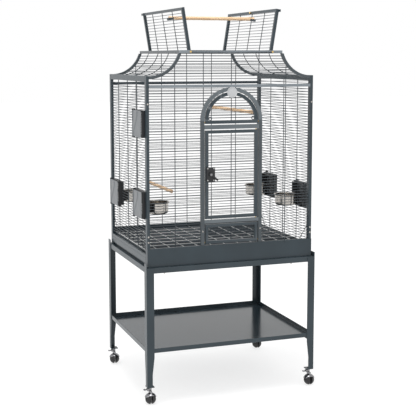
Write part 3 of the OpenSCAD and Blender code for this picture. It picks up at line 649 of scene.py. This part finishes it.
def boolean_cut(verts, faces, cut_verts, cut_faces):
    """Vertices and faces of one closed mesh less another."""
    objects = []
    for name, *shape in (("blank", verts, faces), ("cutter", cut_verts, cut_faces)):
        obj = bpy.data.objects.new(name, closed_mesh(name, *shape))
        scene.collection.objects.link(obj)
        objects.append(obj)
    blank, cutter = objects
    cut = blank.modifiers.new("cut", "BOOLEAN")
    cut.object = cutter
    cut.solver = "EXACT"
    bpy.context.view_layer.update()
    evaluated = blank.evaluated_get(bpy.context.evaluated_depsgraph_get())
    result = evaluated.to_mesh()
    out = ([v.co.copy() for v in result.vertices], [tuple(p.vertices) for p in result.polygons])
    evaluated.to_mesh_clear()
    for obj in objects:
        bpy.data.objects.remove(obj)
    return out


def placed(shape, centre, direction):
    """A shape made along +Z, turned to a direction and moved to a centre."""
    turn = Vector(UP).rotation_difference(Vector(direction)).to_matrix()
    return [Vector(centre) + turn @ Vector(v) for v in shape[0]], shape[1]


def make_screws():
    """Cross-head screws on the front, bolts under the stand rail and the perches' washers and nuts."""
    parts = []
    screw_limit = 12 * MM
    washer_limit = 6 * MM
    for low, high in solid_boxes("screws"):
        size = high - low
        centre = (low + high) / 2
        if size.z > size.y and size.x < screw_limit:
            radius = size.x / 2
            head = cross_head(radius, size.y)
            parts.append(placed(head, (centre.x, high.y, centre.z), FORWARD))
        elif size.y < washer_limit:
            parts.append(placed(washer_and_nut(size.x / 2, size.y), (centre.x, low.y, centre.z), (0, 1, 0)))
        else:
            parts.append(placed(bolt_head(size.x / 2, size.z), (centre.x, centre.y, high.z), (0, 0, -1)))
    screws = piece("screw_heads", *joined(parts), MATERIALS["steel"], "cage", "steel")
    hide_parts("screws")


def hexagon(radius, z0, z1, chamfer):
    """Hexagonal prism with a chamfered top."""
    loops = [(radius, z0), (radius, z1 - chamfer), (radius - chamfer, z1)]
    corners = [math.radians(60 * i) for i in range(6)]
    verts = [(r * math.cos(a), r * math.sin(a), z) for r, z in loops for a in corners]
    faces = [tuple(range(5, -1, -1)), tuple(range(12, 18))]
    for base in (0, 6):
        for i in range(6):
            j = (i + 1) % 6
            faces.append((base + i, base + j, base + 6 + j, base + 6 + i))
    return verts, faces


def washer_and_nut(radius, height):
    """Broad washer with a thin hexagonal nut on it."""
    plate = height * 0.45
    washer = lathe([(0, 0), (0, radius - 0.4 * MM), (0.4 * MM, radius), (plate - 0.4 * MM, radius),
                    (plate, radius - 0.4 * MM), (plate, 0)], 40, ORIGIN, UP)
    return joined([washer, hexagon(radius * 0.55, plate, height, 0.5 * MM)])


def bolt_head(radius, height):
    """Washer and hexagonal head."""
    washer = lathe([(0, 0), (0, radius - 0.3 * MM), (0.3 * MM, radius), (1.2 * MM, radius), (1.5 * MM, 0)],
                   32, ORIGIN, UP)
    return joined([washer, hexagon(radius * 0.85, 1.4 * MM, height, 0.6 * MM)])


def dome(radius, height):
    """Low round head on a flat seat, pointing along +Z."""
    profile = [(0.0, 0.0), (0.0, radius)]
    for degrees in range(15, 90, 15):
        angle = math.radians(degrees)
        profile.append((height * math.sin(angle), radius * math.cos(angle)))
    return lathe(profile + [(height, 0.0)], 28, ORIGIN, UP)


def make_latch_trim():
    """Four rivets on the latch block and a plated boss in the middle of its lever."""
    low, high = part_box("latch_body")
    inset = 5.5 * MM
    head = dome(2.6 * MM, 1.3 * MM)
    rivets = [placed(head, (x, low.y, z), FORWARD)
              for x in (low.x + inset, high.x - inset) for z in (low.z + inset, high.z - inset)]
    piece("latch_rivets", *joined(rivets), PALE_PLATE, "door", "steel")
    lever_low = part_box("latch_lever")[0]
    centre = ((low.x + high.x) / 2, lever_low.y + 0.01 * MM, (low.z + high.z) / 2)
    profile = [(-0.5 * MM, 0), (-0.5 * MM, 5.6 * MM), (0, 5.6 * MM), (0.3 * MM, 5.2 * MM)]
    profile += [(0.3 * MM, 2.4 * MM), (0.1 * MM, 2.0 * MM), (0.1 * MM, 0)]
    boss = lathe(profile, 36, centre, FORWARD)
    piece("latch_boss", *boss, MATERIALS["chrome"], "latch", "steel")


def make_badge():
    """Plain pressed disc with a raised edge and a shallow dome."""
    low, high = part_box("badge")
    centre = ((low.x + high.x) / 2, high.y, (low.z + high.z) / 2)
    radius = (high.x - low.x) / 2
    thick = high.y - low.y
    profile = [(0, 0), (0, radius - 0.6 * MM), (0.6 * MM, radius), (thick - 0.8 * MM, radius)]
    profile += arc((thick - 0.9 * MM, radius - 1.6 * MM), 0.9 * MM, 60, -60, 5)
    profile += [(thick - 1.6 * MM, radius - 3.4 * MM), (thick - 1.3 * MM, radius * 0.7)]
    profile += [(thick - 0.7 * MM, radius * 0.35), (thick - 0.5 * MM, 0)]
    badge = piece("crown_disc", *lathe(profile, 72, centre, FORWARD), MATERIALS["badge"], "cage", "badge")
    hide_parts("badge")


# ---- Casters ----

def make_wheel(key):
    """Twin ball wheel: two treaded halves with sunk faces and a hub cap on each."""
    node = f"wheel_{key}"
    low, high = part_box(node)
    centre = (low + high) / 2
    radius = (high.z - low.z) / 2
    spread = [high[a] - low[a] for a in range(3)]
    axis = 0 if spread[0] < spread[1] else 1
    half = spread[axis] / 2
    inner = 4.0 * MM
    bore = 3.3 * MM
    steps = 14
    grooved_steps = (5, 9)
    first = math.asin(4.6 * MM / radius)
    last = math.radians(60)
    parts, caps = [], []
    for side in (-1, 1):
        direction = [0, 0, 0]
        direction[axis] = side
        profile = [(inner, bore), (inner, radius * 0.86)]
        for i in range(steps + 1):
            angle = first + (last - first) * i / steps
            groove = 0.5 * MM if i in grooved_steps else 0.0
            depth = min(half - 0.6 * MM, radius * math.sin(angle))
            profile.append((depth, radius * math.cos(angle) - groove))
        edge, edge_radius = profile[-1]
        sunk = edge - 1.6 * MM
        profile += [(edge + 0.4 * MM, edge_radius - 1.2 * MM), (sunk, edge_radius - 2.2 * MM)]
        profile += [(edge - 2.2 * MM, edge_radius - 4.4 * MM), (sunk, 5.2 * MM), (sunk, bore), (inner, bore)]
        parts.append(lathe(profile, 64, centre, direction))
        cap_base = edge - 1.7 * MM
        cap = [(cap_base, 0), (cap_base, 5.0 * MM), (cap_base + 1.0 * MM, 5.0 * MM)]
        cap += [(half - 0.8 * MM, 3.6 * MM), (half - 0.2 * MM, 1.6 * MM), (half, 0)]
        caps.append(lathe(cap, 32, centre, direction))
    wheel = piece(f"ball_wheel_{key}", *joined(parts), MATERIALS["tyre"], node, "tyre")
    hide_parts(node)
    piece(f"hub_caps_{key}", *joined(caps), MATERIALS["black"], node, "tyre")


# ---- Roof flaps ----

def make_flap_catch(side):
    """Small brass knob and its plate under the top tube of an open flap."""
    node = f"flap_{side}"
    low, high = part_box(node)
    sign = -1 if side == "left" else 1
    hinge = next(joint for joint in frame["joints"] if joint["child"] == node)
    foot = Vector(hinge["pos_m"])
    tube = 13 * MM
    top = Vector((low.x + tube / 2 if sign < 0 else high.x - tube / 2, foot.y, high.z - tube / 2))
    along = (top - foot).normalized()
    inward = Vector((-sign * along.z, 0, sign * along.x))
    seat = top - along * (tube * 0.2) + inward * (tube / 2 - 0.3 * MM)
    knob = [(0, 0), (0, 5.5 * MM), (1.2 * MM, 5.5 * MM), (1.6 * MM, 2.6 * MM), (4.5 * MM, 2.4 * MM)]
    knob += arc((8.2 * MM, 0.0), 4.4 * MM, 150, 0, 10)
    piece(f"flap_catch_{side}", *lathe(knob, 32, seat, inward), MATERIALS["brass"], node, "brass")


# ---- Camera, floor and light ----

PHOTO_FOCAL_IN_FRAMES = 985.0 / 416
CAMERA_PLACE = (-1.6094, -4.4188, 1.5382)
CAMERA_YAW, CAMERA_PITCH = math.radians(20.02), math.radians(7.04)
CAMERA_SHIFT_Y = -0.0673
FLOOR_REACH = 30
LIGHT_TARGET = (0, 0, 0.9)
AREA_LIGHTS = (("top_box", (-0.4, -0.5, 3.9), 1.7, 60), ("left_box", (-3.2, -1.2, 2.2), 1.8, 15))


def make_camera():
    """Camera to the left of the front, 4.4 m before it and 1.54 m up, looking a little down."""
    data = bpy.data.cameras.new("camera")
    camera = bpy.data.objects.new("camera", data)
    scene.collection.objects.link(camera)
    scene.camera = camera
    data.sensor_width = 36
    data.lens = PHOTO_FOCAL_IN_FRAMES * data.sensor_width
    data.shift_y = CAMERA_SHIFT_Y
    data.clip_end = 100
    camera.location = CAMERA_PLACE
    camera.rotation_euler = (math.pi / 2 - CAMERA_PITCH, 0, -CAMERA_YAW)


def make_studio():
    """White floor, even white surroundings and two soft boxes."""
    verts = [(x * FLOOR_REACH, y * FLOOR_REACH, 0) for x, y in ((-1, -1), (1, -1), (1, 1), (-1, 1))]
    mesh = bpy.data.meshes.new("floor")
    mesh.from_pydata(verts, [], [(0, 1, 2, 3)])
    mesh.materials.append(studio_floor("studio_floor"))
    floor = bpy.data.objects.new("floor", mesh)
    scene.collection.objects.link(floor)
    world = bpy.data.worlds.new("studio")
    world.use_nodes = True
    background = world.node_tree.nodes["Background"]
    background.inputs["Color"].default_value = (1, 1, 1, 1)
    background.inputs["Strength"].default_value = 1.0
    scene.world = world
    for name, place, size, power in AREA_LIGHTS:
        data = bpy.data.lights.new(name, "AREA")
        data.size = size
        data.energy = power
        light = bpy.data.objects.new(name, data)
        light.location = place
        aim = Vector(LIGHT_TARGET) - Vector(place)
        light.rotation_euler = aim.to_track_quat("-Z", "Y").to_euler()
        scene.collection.objects.link(light)


make_camera()
make_studio()
scene.view_settings.view_transform = "Standard"
dress_nodes()
finish_highlights()
for cover_key in ("lu", "lf", "lr", "rf", "rr"):
    make_cover(cover_key)
for bowl_key in ("lf", "lr", "rf", "rr"):
    make_bowl(bowl_key)
make_perch("perch_low", 1, MATERIALS["wood"], "cage")
make_perch("perch_high", 1, MATERIALS["wood"], "cage")
make_perch("top_perch", 0, WOOD_X, "top_perch")
make_screws()
make_latch_trim()
make_badge()
for wheel_key in ("fl", "fr", "rl", "rr"):
    make_wheel(wheel_key)
for flap_side in ("left", "right"):
    make_flap_catch(flap_side)
